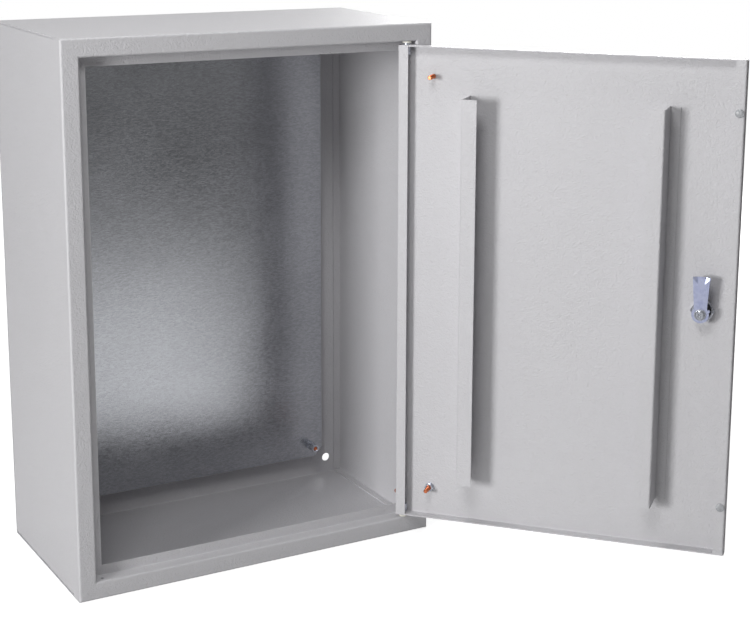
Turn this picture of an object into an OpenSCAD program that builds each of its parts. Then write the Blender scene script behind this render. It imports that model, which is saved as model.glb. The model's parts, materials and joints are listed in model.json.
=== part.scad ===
// Steel wall enclosure: a bent sheet body, an inset door on two concealed pins and a cam lock.
// Z is up and the door faces -Y. The origin is the middle of the wall-hole pattern,
// on the outer face of the back. Lengths are in millimetres.

/* [Body] */
// Outer width of the body
body_w = 500; // [400:10:800]
// Outer height of the body
body_h = 700; // [500:10:1200]
// Outer depth of the body
body_d = 260; // [150:10:400]
// Thickness of every bent sheet
sheet_t = 1.5; // [1:0.1:1.8]
// Radius of each bend, at the middle of the sheet
bend_r = 2; // [1.5:0.1:2.4]
// Width of the front flange round the door
flange_w = 23; // [20:1:32]
// Depth of the ledge behind the front flange
ledge_d = 19; // [19:1:26]
// Height of the inner lip that the door closes against
lip_h = 13; // [9:1:18]
// Width of the weld flanges that the side panels turn in
seam_w = 12; // [8:1:16]
// Diameter of the drain hole in the lower ledge
drain_d = 4; // [3:0.5:6]
// Distance of the drain hole from the inner edge of the side flange
drain_inset = 10; // [8:1:20]

/* [Wall holes] */
// Diameter of the four holes in the back
wall_hole_d = 12; // [8:0.5:14]
// Distance of the wall holes from the outer sides
wall_hole_side = 25; // [22:1:32]
// Distance of the wall holes from the top and the bottom
wall_hole_end = 25; // [14:1:32]

/* [Mounting plate] */
// Thickness of the mounting plate
plate_t = 2; // [1.5:0.5:3]
// Gap between each side of the body and the plate
plate_side_gap = 41; // [36:1:60]
// Gap between the top or bottom of the body and the plate
plate_end_gap = 38; // [34:1:60]
// Length of the corner cuts of the plate
plate_cut = 12; // [4:1:14]
// Length of the spacer tubes behind the plate
standoff_l = 16.5; // [8:0.5:40]
// Outer diameter of the spacer tubes
standoff_d = 12; // [11:0.5:16]
// Distance of the studs from the sides of the plate
plate_stud_side = 20; // [16:1:30]
// Distance of the studs from the ends of the plate
plate_stud_end = 18; // [16:1:30]
// Height of the long nuts
plate_nut_h = 18; // [5:1:24]
// Depth of the stud tips inside the long nuts
plate_stud_sunk = 1; // [0:0.5:3]

/* [Fasteners] */
// Diameter of every weld stud
stud_d = 6; // [5:0.5:6.5]
// Distance across the flats of the nuts
nut_flats = 10; // [9.5:0.5:10.5]
// Height of the plain nuts
nut_h = 5; // [4:0.5:6]
// Outer diameter of the washers
washer_d = 12; // [11:0.5:14]
// Thickness of the washers
washer_t = 1.6; // [1:0.1:2]
// Radial clearance of nuts, washers and spacers on a stud
stud_play = 0.05; // [0.03:0.01:0.1]
// Length of stud that stands out of a nut
stud_end = 2; // [1:0.5:6]
// Length of the earth stud inside the body
earth_stud_l = 20; // [12:1:30]
// Distance of the earth stud from the front of the body
earth_stud_front = 52; // [40:1:90]
// Height of the earth stud above the underside of the body
earth_stud_up = 40; // [30:1:80]

/* [Door] */
// Gap between the door and the front flange at each side
door_side_gap = 2.5; // [2.3:0.1:4]
// Gap between the door and the front flange at the top and the bottom
door_end_gap = 4.5; // [4:0.1:6]
// Depth of the door flanges, from the outer face
door_depth = 16; // [15:0.5:16.5]
// Width of the return lips on the two upright sides
door_lip_w = 14; // [12:0.5:18]
// Largest opening angle of the door
open_angle = 133; // [132:1:135]
// Door angle at rest, with 0 closed
rest_angle = 132; // [0:1:132]

/* [Hinges] */
// Diameter of the hinge pins
pin_d = 5; // [4:0.5:5]
// Distance across the flats of the nuts on the pins
pin_nut_flats = 8; // [7.5:0.5:8]
// Height of the nuts on the pins
pin_nut_h = 5; // [3:0.5:6]
// Radial clearance between the pins and their bushes
pin_play = 0.08; // [0.03:0.01:0.1]
// Outer diameter of the bush barrel
bush_d = 7.6; // [7.2:0.1:7.8]
// Diameter of the bush flange
bush_flange_d = 12; // [10:0.5:13]
// Thickness of the bush flange
bush_flange_t = 2; // [1:0.1:3]
// Diameter of the collar on the pin
collar_d = 9; // [8:0.5:10]
// Gap between the collar and the bush
collar_gap = 0.1; // [0.05:0.05:0.3]

/* [Stiffeners] */
// Distance of each web from the middle of the door
rail_offset = 130; // [60:1:140]
// Distance of the rails from the top and bottom of the door
rail_end_gap = 63; // [50:1:120]
// Height of the rails above the door sheet
rail_h = 41; // [20:1:60]
// Width of the foot that is welded to the door
rail_foot = 13.5; // [8:0.5:20]
// Width of the free lip
rail_lip = 20; // [8:1:30]

/* [Door fittings] */
// Distance of the door studs from the hinge edge of the door
door_stud_side = 45; // [30:1:60]
// Distance of the door studs from the top and bottom of the door
door_stud_end = 40; // [25:1:48]
// Length of the door studs
door_stud_l = 20; // [14:1:30]
// Diameter of the round bumpers
bumper_d = 11; // [8:0.5:12]
// Height of the round bumpers
bumper_h = 2.7; // [1.5:0.1:2.8]
// Distance of the bumpers from the ends of the door
bumper_end = 66; // [40:1:120]

/* [Lock] */
// Distance of the lock from the free edge of the door
lock_inset = 43; // [38:1:44]
// Diameter of the lock barrel
barrel_d = 22; // [20:0.5:24]
// Radial clearance of the barrel in the door
barrel_play = 0.2; // [0.1:0.05:0.4]
// Diameter of the outer lock head
head_d = 28; // [26:0.5:34]
// Thickness of the outer lock head
head_t = 4; // [3:0.5:6]
// Thickness of the seal under the lock head
seal_t = 0.8; // [0.5:0.1:2]
// Distance across the flats of the lock nut
lock_nut_flats = 27; // [26:0.5:30]
// Thickness of the lock nut
lock_nut_t = 4.5; // [3:0.5:6]
// Diameter of the key insert
insert_d = 12; // [11:0.5:14]
// Radial clearance of the insert in the barrel
insert_play = 0.08; // [0.03:0.01:0.1]
// Side of the square that drives the cam
square_w = 8; // [6:0.5:8]
// Clearance between the latched cam and the inner lip
cam_gap = 1; // [0.5:0.1:2]
// Thickness of the cam
cam_t = 3; // [2:0.5:4]
// Diameter of the eye of the cam
cam_eye_d = 22; // [18:0.5:24]
// Length of the cam from the lock axis to the tip
cam_l = 49; // [46:1:52]
// Width of the cam at the tip
cam_tip_w = 22; // [16:0.5:26]
// Width of the cam at the neck
cam_neck_w = 17; // [12:0.5:18]
// Diameter of the cam screw
cam_screw_d = 5; // [4:0.5:5]
// Diameter of the head of the cam screw
cam_head_d = 12; // [9:0.5:13]

/* [Hidden] */

// Steps in one bend and sides of one turned part
bend_steps = 5;
round_fn = 48;
// Overshoot of every cutting tool
cut = 1;

// Outer radius of a bend, which is also the corner relief
bend_out = bend_r + sheet_t / 2;
half_w = body_w / 2;
half_h = body_h / 2;
// Inner edges of the front flange
mouth_x = half_w - flange_w;
mouth_z = half_h - flange_w;
// The mitred front zone ends just behind the inner lip
front_zone = ledge_d + sheet_t + cut;
// Mitres run inwards to just past the edge of the inner lip
mitre_in = flange_w + lip_h + cut;

// Front face of the mounting plate
plate_y = -(sheet_t + standoff_l + plate_t);
plate_stud_x = half_w - plate_side_gap - plate_stud_side;
plate_stud_z = half_h - plate_end_gap - plate_stud_end;
plate_stud_l = standoff_l + plate_t + washer_t + plate_nut_h - plate_stud_sunk;

// Half sizes of the door
door_x = mouth_x - door_side_gap;
door_z = mouth_z - door_end_gap;
// The axis lies just deep enough for the nuts on the pins to clear the door sheet
hinge_setback = sheet_t + pin_nut_flats / 2 + 0.05;
// The axis lies just far enough in for the open door to clear the bend of the front flange
swing_gap = 0.15;
swing_in = (hinge_setback * (1 - cos(open_angle)) + swing_gap
    - bend_out * (sin(open_angle) - cos(open_angle) - 1)) / sin(open_angle);
hinge_x = mouth_x - swing_in;
hinge_y = -body_d + hinge_setback;
lock_x = -door_x + lock_inset;
// Drawn neck of each pin hole in the door, which reaches just past the bend beside it
neck_h = bend_out - sheet_t + 0.1;
// Collar that fills the space between the door and the bush
collar_t = door_end_gap - bush_flange_t - collar_gap;

// Depths below are measured inwards from the outer face of the door
barrel_end = ledge_d + sheet_t + cam_gap - collar_gap;
cam_front = barrel_end + collar_gap;
cam_back = cam_front + cam_t;
cam_washer_t = 1;
cam_head_t = 3.5;
cam_screw_l = 12;
insert_flange_d = 16;
insert_flange_t = 2;
head_rim = 0.8;

steel_grey = [0.80, 0.81, 0.82];
zinc = [0.72, 0.74, 0.78];
galvanised = [0.55, 0.57, 0.58];
copper = [0.78, 0.45, 0.30];
black = [0.10, 0.10, 0.11];
nylon = [0.92, 0.92, 0.90];
clear_rubber = [0.85, 0.87, 0.88];

// Left normal of a direction
function left_of(d) = [-d[1], d[0]];
function unit(v) = v / norm(v);
function reversed(v) = [for (i = [len(v) - 1 : -1 : 0]) v[i]];

// Arc of one right-angled bend at point i of a path, offset by k to the left
function bend_arc(path, i, r, k) =
    let (
        d0 = unit(path[i] - path[i - 1]),
        d1 = unit(path[i + 1] - path[i]),
        turn = sign(d0[0] * d1[1] - d0[1] * d1[0]),
        centre = path[i] + r * (d1 - d0)
    )
    [for (n = [0 : bend_steps])
        let (a = 90 * n / bend_steps)
        centre + (r - turn * k) * (sin(a) * d0 - cos(a) * d1)];

// One face of a bent sheet, from the first point of its path to the last
function sheet_face(path, r, k) =
    let (
        last = len(path) - 1,
        first_dir = unit(path[1] - path[0]),
        last_dir = unit(path[last] - path[last - 1])
    )
    concat(
        [path[0] + k * left_of(first_dir)],
        [for (i = [1 : last - 1]) each bend_arc(path, i, r, k)],
        [path[last] + k * left_of(last_dir)]
    );

// Section of a bent sheet along the middle line given by path
module bent_sheet(path) {
    polygon(concat(
        sheet_face(path, bend_r, sheet_t / 2),
        reversed(sheet_face(path, bend_r, -sheet_t / 2))
    ));
}

// Extrudes a section drawn in Y and Z along X, centred
module along_x(length) {
    translate([-length / 2, 0, 0])
        rotate([90, 0, 90])
            linear_extrude(length) children();
}

// Extrudes a section drawn in X and Z from y0 to y1
module along_y(y0, y1) {
    translate([0, y1, 0])
        rotate([90, 0, 0])
            linear_extrude(y1 - y0) children();
}

// Extrudes a section drawn in X and Y along Z, centred
module along_z(length) {
    translate([0, 0, -length / 2])
        linear_extrude(length) children();
}

// Turned part whose axis points along -Y from y0, into the body's inside when y0 is the back
module rod_y(y0, length, d) {
    translate([0, y0, 0])
        rotate([90, 0, 0])
            cylinder(h = length, d = d, $fn = round_fn);
}

// Ring or tube along -Y
module ring_y(y0, length, d, bore) {
    difference() {
        rod_y(y0, length, d);
        rod_y(y0 + cut, length + 2 * cut, bore);
    }
}

// Hexagon nut along -Y with two flats level
module nut_y(y0, height, flats, bore) {
    difference() {
        translate([0, y0, 0])
            rotate([90, 0, 0])
                cylinder(h = height, d = flats / cos(30), $fn = 6);
        rod_y(y0 + cut, height + 2 * cut, bore);
    }
}

// Weld stud along -Y: the shank and a bevelled end
module weld_stud(length) {
    bevel = 0.6;
    rod_y(0, length - bevel, stud_d);
    translate([0, -length + bevel, 0])
        rotate([90, 0, 0])
            cylinder(h = bevel, r1 = stud_d / 2, r2 = stud_d / 2 - bevel, $fn = round_fn);
}

// Puts a copy at each of the four studs of the mounting plate
module at_plate_studs() {
    for (x = [-1, 1], z = [-1, 1])
        translate([x * plate_stud_x, 0, z * plate_stud_z]) children();
}

// Turns a door part from the closed place to the rest angle
module on_door() {
    translate([hinge_x, hinge_y, 0])
        rotate([0, 0, rest_angle])
            translate([-hinge_x, -hinge_y, 0]) children();
}

// Area of the front that belongs to the right side panel, between its two mitres
module side_front_area() {
    polygon([
        [half_w + cut, half_h + cut],
        [half_w - mitre_in, half_h - mitre_in],
        [half_w - mitre_in, -half_h + mitre_in],
        [half_w + cut, -half_h - cut]
    ]);
}

// Middle line of the wrap: lower lip, ledge and flange, bottom, back, top and down again
module wrap_section() {
    t2 = sheet_t / 2;
    lip_y = -body_d + ledge_d + t2;
    bent_sheet([
        [lip_y, -mouth_z + lip_h],
        [lip_y, -mouth_z - t2],
        [-body_d + t2, -mouth_z - t2],
        [-body_d + t2, -half_h + t2],
        [-t2, -half_h + t2],
        [-t2, half_h - t2],
        [-body_d + t2, half_h - t2],
        [-body_d + t2, mouth_z + t2],
        [lip_y, mouth_z + t2],
        [lip_y, mouth_z - lip_h]
    ]);
}

// Middle line of the right side panel: lip, ledge, flange, side and rear weld flange
module side_section() {
    t2 = sheet_t / 2;
    lip_y = -body_d + ledge_d + t2;
    bent_sheet([
        [mouth_x - lip_h, lip_y],
        [mouth_x + t2, lip_y],
        [mouth_x + t2, -body_d + t2],
        [half_w - t2, -body_d + t2],
        [half_w - t2, -sheet_t - t2],
        [half_w - seam_w, -sheet_t - t2]
    ]);
}

// Weld flange along the bottom edge of the right side panel
module bottom_seam_section() {
    t2 = sheet_t / 2;
    bent_sheet([
        [half_w - seam_w, -half_h + sheet_t + t2],
        [half_w - t2, -half_h + sheet_t + t2],
        [half_w - t2, -half_h + sheet_t + 3 * bend_out]
    ]);
}

module hinge_hole(z) {
    translate([hinge_x, hinge_y, z])
        cylinder(h = 4 * sheet_t, d = bush_d + 2 * stud_play, center = true, $fn = round_fn);
}

module body_wrap() {
    color(steel_grey)
    difference() {
        along_x(body_w) wrap_section();
        for (side = [0, 1])
            mirror([side, 0, 0])
                along_y(-body_d - cut, -body_d + front_zone) side_front_area();
        for (x = [-1, 1], z = [-1, 1])
            translate([x * (half_w - wall_hole_side), 0, z * (half_h - wall_hole_end)])
                rod_y(cut, sheet_t + 2 * cut, wall_hole_d);
        for (z = [-1, 1])
            hinge_hole(z * (mouth_z + sheet_t / 2));
        translate([-mouth_x + drain_inset, -body_d + ledge_d / 2, -mouth_z - sheet_t / 2])
            cylinder(h = 4 * sheet_t, d = drain_d, center = true, $fn = round_fn);
    }
}

module side_panel() {
    rear_y = -body_d + front_zone;
    color(steel_grey)
    union() {
        intersection() {
            along_z(body_h + 2 * cut) side_section();
            union() {
                along_y(-body_d - cut, rear_y) side_front_area();
                translate([0, rear_y, -half_h + sheet_t + bend_out])
                    cube([half_w + cut, body_d - front_zone - sheet_t, body_h - 2 * (sheet_t + bend_out)]);
            }
        }
        for (end = [0, 1])
            mirror([0, 0, end])
                along_y(rear_y, -2 * sheet_t - bend_out) bottom_seam_section();
    }
}

module right_side_panel() {
    side_panel();
}

module left_side_panel() {
    mirror([1, 0, 0]) side_panel();
}

module mounting_plate() {
    x = half_w - plate_side_gap;
    z = half_h - plate_end_gap;
    c = plate_cut;
    color(galvanised)
    difference() {
        along_y(plate_y, plate_y + plate_t)
            polygon([
                [x - c, z], [-x + c, z], [-x, z - c], [-x, -z + c],
                [-x + c, -z], [x - c, -z], [x, -z + c], [x, z - c]
            ]);
        at_plate_studs()
            rod_y(plate_y + plate_t + cut, plate_t + 2 * cut, stud_d + 2 * stud_play);
    }
}

module plate_studs() {
    color(copper)
    at_plate_studs()
        translate([0, -sheet_t, 0]) weld_stud(plate_stud_l);
}

module plate_standoffs() {
    color(zinc)
    at_plate_studs()
        ring_y(-sheet_t, standoff_l, standoff_d, stud_d + 2 * stud_play);
}

module plate_washers() {
    color(zinc)
    at_plate_studs()
        ring_y(plate_y, washer_t, washer_d, stud_d + 2 * stud_play);
}

module plate_nuts() {
    color(zinc)
    at_plate_studs()
        nut_y(plate_y - washer_t, plate_nut_h, nut_flats, stud_d + 2 * stud_play);
}

module body_earth_stud() {
    color(copper)
    translate([half_w - sheet_t, -body_d + earth_stud_front, -half_h + earth_stud_up])
        rotate([0, 0, -90]) weld_stud(earth_stud_l);
}

// Flanged bush of the upper hinge, in the ledge of the wrap
module hinge_bush() {
    barrel_up = 4;
    color(nylon)
    translate([hinge_x, hinge_y, mouth_z])
        difference() {
            union() {
                translate([0, 0, -bush_flange_t])
                    cylinder(h = bush_flange_t, d = bush_flange_d, $fn = round_fn);
                translate([0, 0, -cut])
                    cylinder(h = barrel_up + cut, d = bush_d, $fn = round_fn);
            }
            translate([0, 0, -bush_flange_t - cut])
                cylinder(h = bush_flange_t + barrel_up + 2 * cut, d = pin_d + 2 * pin_play, $fn = round_fn);
        }
}

module upper_hinge_bush() {
    hinge_bush();
}

module lower_hinge_bush() {
    mirror([0, 0, 1]) hinge_bush();
}

// Threaded pin of the upper hinge: shank, collar on the door and nose in the bush
module hinge_pin() {
    nose = door_end_gap + 6;
    shank = sheet_t + neck_h + 2 * pin_nut_h + stud_end;
    color(zinc)
    on_door()
        translate([hinge_x, hinge_y, door_z]) {
            translate([0, 0, -shank])
                cylinder(h = shank + nose, d = pin_d, $fn = round_fn);
            cylinder(h = collar_t, d = collar_d, $fn = round_fn);
        }
}

module upper_hinge_pin() {
    hinge_pin();
}

module lower_hinge_pin() {
    mirror([0, 0, 1]) hinge_pin();
}

// Two nuts that hold the pin in the door, with their flats along the door sheet
module hinge_nuts() {
    color(zinc)
    on_door()
        for (n = [1, 2])
            translate([hinge_x, hinge_y, door_z - sheet_t - neck_h - n * pin_nut_h])
                difference() {
                    cylinder(h = pin_nut_h, d = pin_nut_flats / cos(30), $fn = 6);
                    translate([0, 0, -cut])
                        cylinder(h = pin_nut_h + 2 * cut, d = pin_d + 2 * stud_play, $fn = round_fn);
                }
}

module upper_hinge_nuts() {
    hinge_nuts();
}

module lower_hinge_nuts() {
    mirror([0, 0, 1]) hinge_nuts();
}

// Rectangle with its corners on the low-Y side rounded, and the high-Y side too if both is set
module door_outline(half, y0, y1, r, both) {
    far = both ? r : 0.01;
    polygon(concat(
        [for (n = [0 : bend_steps]) let (a = 180 + 90 * n / bend_steps)
            [-half + r + r * cos(a), y0 + r + r * sin(a)]],
        [for (n = [0 : bend_steps]) let (a = 270 + 90 * n / bend_steps)
            [half - r + r * cos(a), y0 + r + r * sin(a)]],
        [for (n = [0 : bend_steps]) let (a = 90 * n / bend_steps)
            [half - far + far * cos(a), y1 - far + far * sin(a)]],
        [for (n = [0 : bend_steps]) let (a = 90 + 90 * n / bend_steps)
            [-half + far + far * cos(a), y1 - far + far * sin(a)]]
    ));
}

// Neck drawn inwards round the upper pin hole, for the nuts to seat on
module pin_neck() {
    neck_wall = 1;
    translate([hinge_x, hinge_y, door_z - sheet_t - neck_h])
        cylinder(h = neck_h + sheet_t / 2, d = pin_d + 2 * neck_wall, $fn = round_fn);
}

// Door sheet: four flanges bent inwards, with a return lip on the two upright sides
module door_pan() {
    front = -body_d;
    back = front + door_depth;
    r_in = bend_out - sheet_t;
    color(steel_grey)
    on_door()
    difference() {
        union() {
            difference() {
                intersection() {
                    along_z(2 * door_z) door_outline(door_x, front, back, bend_out, true);
                    along_x(2 * door_x + 2 * cut)
                        rotate(90) mirror([0, 1]) door_outline(door_z, front, back, bend_out, false);
                }
                intersection() {
                    along_z(2 * door_z)
                        door_outline(door_x - sheet_t, front + sheet_t, back - sheet_t, r_in, true);
                    along_x(2 * door_x)
                        rotate(90) mirror([0, 1])
                            door_outline(door_z - sheet_t, front + sheet_t, back + cut, r_in, false);
                }
                along_z(2 * (door_z - sheet_t))
                    translate([-door_x + door_lip_w, front + sheet_t + r_in])
                        square([2 * (door_x - door_lip_w), door_depth]);
            }
            pin_neck();
            mirror([0, 0, 1]) pin_neck();
        }
        translate([lock_x, 0, 0])
            rod_y(front + sheet_t + cut, sheet_t + 2 * cut, barrel_d + 2 * barrel_play);
        for (z = [-1, 1])
            translate([hinge_x, hinge_y, z * door_z])
                cylinder(h = 4 * bend_out, d = pin_d + 2 * stud_play, center = true, $fn = round_fn);
    }
}

// Z-section rail welded to the inner face: foot, web and lip, where dir is 1 towards the hinge
module stiffener(dir) {
    t2 = sheet_t / 2;
    base_y = -body_d + sheet_t + t2;
    top_y = -body_d + sheet_t + rail_h - t2;
    web_x = dir * rail_offset;
    color(steel_grey)
    on_door()
        along_z(2 * (door_z - rail_end_gap))
            bent_sheet([
                [web_x + dir * rail_foot, base_y],
                [web_x, base_y],
                [web_x, top_y],
                [web_x - dir * rail_lip, top_y]
            ]);
}

module hinge_side_stiffener() {
    stiffener(1);
}

module lock_side_stiffener() {
    stiffener(-1);
}

// Moves a fitting drawn along -Y to a stud place on the door, pointing inwards
module at_door_stud(z) {
    on_door()
        translate([door_x - door_stud_side, -body_d + sheet_t, z * (door_z - door_stud_end)])
            rotate([0, 0, 180]) children();
}

module door_upper_stud() {
    color(copper) at_door_stud(1) weld_stud(door_stud_l);
}

module door_lower_stud() {
    color(copper) at_door_stud(-1) weld_stud(door_stud_l);
}

module door_earth_washer() {
    color(zinc) at_door_stud(-1) ring_y(0, washer_t, washer_d, stud_d + 2 * stud_play);
}

module door_earth_nut() {
    color(zinc) at_door_stud(-1) nut_y(-washer_t, nut_h, nut_flats, stud_d + 2 * stud_play);
}

// Low round bumper on the return lip at the free side
module bumper(z) {
    r = bumper_d / 2;
    edge = bumper_h * 0.45;
    dome_r = (r * r + pow(bumper_h - edge, 2)) / (2 * (bumper_h - edge));
    dome_a = asin(r / dome_r);
    steps = 8;
    color(clear_rubber)
    on_door()
        translate([-door_x + door_lip_w / 2, -body_d + door_depth, z * (door_z - bumper_end)])
            rotate([-90, 0, 0])
                rotate_extrude($fn = round_fn)
                    polygon(concat(
                        [[0, 0], [r, 0]],
                        [for (n = [0 : steps]) let (a = dome_a * (1 - n / steps))
                            [dome_r * sin(a), bumper_h - dome_r + dome_r * cos(a)]]
                    ));
}

module upper_bumper() {
    bumper(1);
}

module lower_bumper() {
    bumper(-1);
}

// Places a lock part: its axis is along Y, and its zero is the outer face of the door
module at_lock() {
    on_door()
        translate([lock_x, -body_d, 0]) children();
}

// Lock barrel with its outer head, bored for the insert
module lock_housing() {
    head_y = -seal_t - head_t;
    color(black)
    at_lock()
        difference() {
            union() {
                rod_y(barrel_end, barrel_end + seal_t, barrel_d);
                rod_y(-seal_t, head_t - head_rim, head_d);
                translate([0, head_y + head_rim, 0])
                    rotate([90, 0, 0])
                        cylinder(h = head_rim, r1 = head_d / 2, r2 = head_d / 2 - head_rim, $fn = round_fn);
            }
            rod_y(barrel_end + cut, barrel_end + seal_t + head_t + 2 * cut, insert_d + 2 * insert_play);
            rod_y(head_y + head_rim + insert_flange_t + collar_gap, head_t, insert_flange_d + 2 * insert_play);
        }
}

module lock_seal() {
    color([0.15, 0.15, 0.15])
    at_lock()
        ring_y(0, seal_t, head_d - 2 * head_rim, barrel_d + 2 * barrel_play);
}

module lock_nut() {
    color(zinc)
    at_lock()
        nut_y(sheet_t + lock_nut_t, lock_nut_t, lock_nut_flats, barrel_d + 2 * stud_play);
}

// Key insert: flange and double-bit socket outside, square drive and tapped hole inside
module lock_insert() {
    flange_y = -seal_t - head_t + head_rim;
    socket_d = 9;
    socket_deep = 9;
    key_pin_d = 3;
    wing_w = 2.4;
    wing_l = 5.6;
    color(zinc)
    at_lock()
        difference() {
            union() {
                rod_y(cam_front, cam_front - flange_y, insert_d);
                rod_y(flange_y + insert_flange_t, insert_flange_t, insert_flange_d);
                translate([0, cam_front + cam_t / 2, 0])
                    cube([square_w, cam_t, square_w], center = true);
            }
            difference() {
                translate([0, socket_deep, 0])
                    rod_y(flange_y, socket_deep + cut, socket_d);
                translate([0, socket_deep, 0])
                    rod_y(flange_y, socket_deep + 2 * cut, key_pin_d);
            }
            translate([0, flange_y, 0])
                for (side = [-1, 1])
                    translate([side * wing_l / 2, 0, 0])
                        cube([wing_l, 2 * insert_flange_t, wing_w], center = true);
            rod_y(cam_back + cut, cam_screw_l + cut, cam_screw_d + 2 * stud_play);
        }
}

// Outline of the cam in X and Z, pointing up
module cam_outline() {
    neck_z = cam_eye_d * 0.6;
    stop_r = cam_eye_d / 2 + 2;
    circle(d = cam_eye_d, $fn = round_fn);
    polygon([
        [-cam_neck_w / 2, 0],
        [cam_neck_w / 2, 0],
        [cam_neck_w / 2, neck_z],
        [cam_tip_w / 2, cam_l - 1],
        [0, cam_l],
        [-cam_tip_w / 2, cam_l - 1],
        [-cam_neck_w / 2, neck_z]
    ]);
    rotate(155)
        translate([0, -1.5])
            square([stop_r, 3]);
}

module lock_cam() {
    ramp_l = 13;
    ramp_a = 12;
    key_w = 3;
    color(zinc)
    at_lock()
        difference() {
            along_y(cam_front, cam_back) cam_outline();
            translate([0, cam_front + cam_t / 2, 0])
                cube([square_w + 0.1, cam_t + 2 * cut, square_w + 0.1], center = true);
            translate([-key_w / 2, cam_front - cut, 0])
                cube([key_w, cam_t + 2 * cut, square_w / 2 + 2.5]);
            for (side = [-1, 1])
                translate([side * cam_tip_w / 2, cam_back, cam_l])
                    rotate([0, 0, side * ramp_a])
                        rotate([ramp_a, 0, 0])
                            translate([-ramp_l / 2, -0.6, -ramp_l])
                                cube([ramp_l, 4 * cam_t, 2 * ramp_l]);
        }
}

module cam_washer() {
    washer_wide = 3;
    color(zinc)
    at_lock()
        ring_y(cam_back + cam_washer_t, cam_washer_t, cam_head_d + washer_wide, cam_screw_d + 2 * stud_play);
}

// Pan-head screw with a cross recess
module cam_screw() {
    head_y = cam_back + cam_washer_t;
    crown = 1.2;
    recess_w = 1.4;
    recess_l = 6;
    recess_deep = 1.8;
    color(zinc)
    at_lock()
        difference() {
            union() {
                rod_y(head_y, cam_screw_l, cam_screw_d);
                rod_y(head_y + cam_head_t - crown, cam_head_t - crown, cam_head_d);
                translate([0, head_y + cam_head_t - crown, 0])
                    rotate([-90, 0, 0])
                        cylinder(h = crown, r1 = cam_head_d / 2, r2 = cam_head_d / 2 - crown, $fn = round_fn);
            }
            for (turn = [45, 135])
                translate([0, head_y + cam_head_t, 0])
                    rotate([0, turn, 0])
                        cube([recess_l, 2 * recess_deep, recess_w], center = true);
        }
}

body_wrap();
left_side_panel();
right_side_panel();
mounting_plate();
plate_studs();
plate_standoffs();
plate_washers();
plate_nuts();
body_earth_stud();
upper_hinge_bush();
lower_hinge_bush();
door_pan();
hinge_side_stiffener();
lock_side_stiffener();
door_upper_stud();
door_lower_stud();
door_earth_washer();
door_earth_nut();
upper_hinge_pin();
lower_hinge_pin();
upper_hinge_nuts();
lower_hinge_nuts();
upper_bumper();
lower_bumper();
lock_housing();
lock_seal();
lock_nut();
lock_insert();
lock_cam();
cam_washer();
cam_screw();
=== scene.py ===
# %% [markdown]
# # A steel wall enclosure
#
# The body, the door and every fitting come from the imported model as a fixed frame.
# This lesson dresses that frame: powder coat on the sheet metal, spangle on the
# galvanised plate, real threads on the studs, chamfered nuts and weld beads.
# Everything is in metres, with Z up and the door towards -Y.

# %% Load the frame
import json
import math

import bpy
import bmesh
from mathutils import Matrix, Vector


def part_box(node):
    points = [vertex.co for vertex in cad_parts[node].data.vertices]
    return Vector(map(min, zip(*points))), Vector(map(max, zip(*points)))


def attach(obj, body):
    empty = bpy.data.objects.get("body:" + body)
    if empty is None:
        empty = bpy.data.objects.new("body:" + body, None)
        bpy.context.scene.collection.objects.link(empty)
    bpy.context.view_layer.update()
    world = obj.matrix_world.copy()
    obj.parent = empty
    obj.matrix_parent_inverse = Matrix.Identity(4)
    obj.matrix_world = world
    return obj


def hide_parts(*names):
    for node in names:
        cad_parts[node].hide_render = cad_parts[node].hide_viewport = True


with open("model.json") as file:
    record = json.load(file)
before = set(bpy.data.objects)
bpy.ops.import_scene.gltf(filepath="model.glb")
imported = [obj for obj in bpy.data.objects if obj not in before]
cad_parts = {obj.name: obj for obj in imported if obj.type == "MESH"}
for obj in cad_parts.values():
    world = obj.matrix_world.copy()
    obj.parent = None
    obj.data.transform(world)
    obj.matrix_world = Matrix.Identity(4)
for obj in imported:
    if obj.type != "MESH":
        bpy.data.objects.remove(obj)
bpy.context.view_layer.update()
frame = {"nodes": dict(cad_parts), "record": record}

nodes = frame["nodes"]
scene = bpy.context.scene

# %% [markdown]
# ## A camera that keeps the uprights upright
#
# A tall box looks best when its upright edges stay nearly parallel. A photographer does
# that with a shift lens: the camera looks almost level and the frame slides down.
# Blender has the same control in the camera's shift values.

# %% The camera
MM = 0.001


def make_camera(place, turn, tilt, roll, lens, shift):
    """A camera that looks along +Y, then turns about Z, tilts down and rolls."""
    data = bpy.data.cameras.new("shift_camera")
    data.sensor_width = 36.0
    data.lens = lens
    data.shift_x, data.shift_y = shift
    data.clip_start, data.clip_end = 0.05, 50.0
    camera = bpy.data.objects.new("shift_camera", data)
    scene.collection.objects.link(camera)
    rotation = (
        Matrix.Rotation(-turn, 4, "Z")
        @ Matrix.Rotation(-tilt, 4, "X")
        @ Matrix.Rotation(-roll, 4, "Y")
        @ Matrix.Rotation(math.pi / 2, 4, "X")
    )
    camera.matrix_world = Matrix.Translation(place) @ rotation
    return camera


scene.camera = make_camera(
    place=Vector((-0.8637, -2.1260, 0.5488)),
    turn=math.radians(30.83),
    tilt=math.radians(12.17),
    roll=math.radians(0.60),
    lens=79.8,
    shift=(-0.0733, -0.1133),
)
print("camera", tuple(round(v, 3) for v in scene.camera.location))

# %% [markdown]
# ## Writing node maths as plain expressions
#
# Node trees are easier to read as formulas. `Wire` wraps one output socket, and its
# operators add Math nodes. `Graph.node` makes any other node: its settings come first,
# then the values or wires of its inputs. The same two classes build materials and
# Geometry Nodes trees, because both kinds of tree share the maths nodes.


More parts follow.
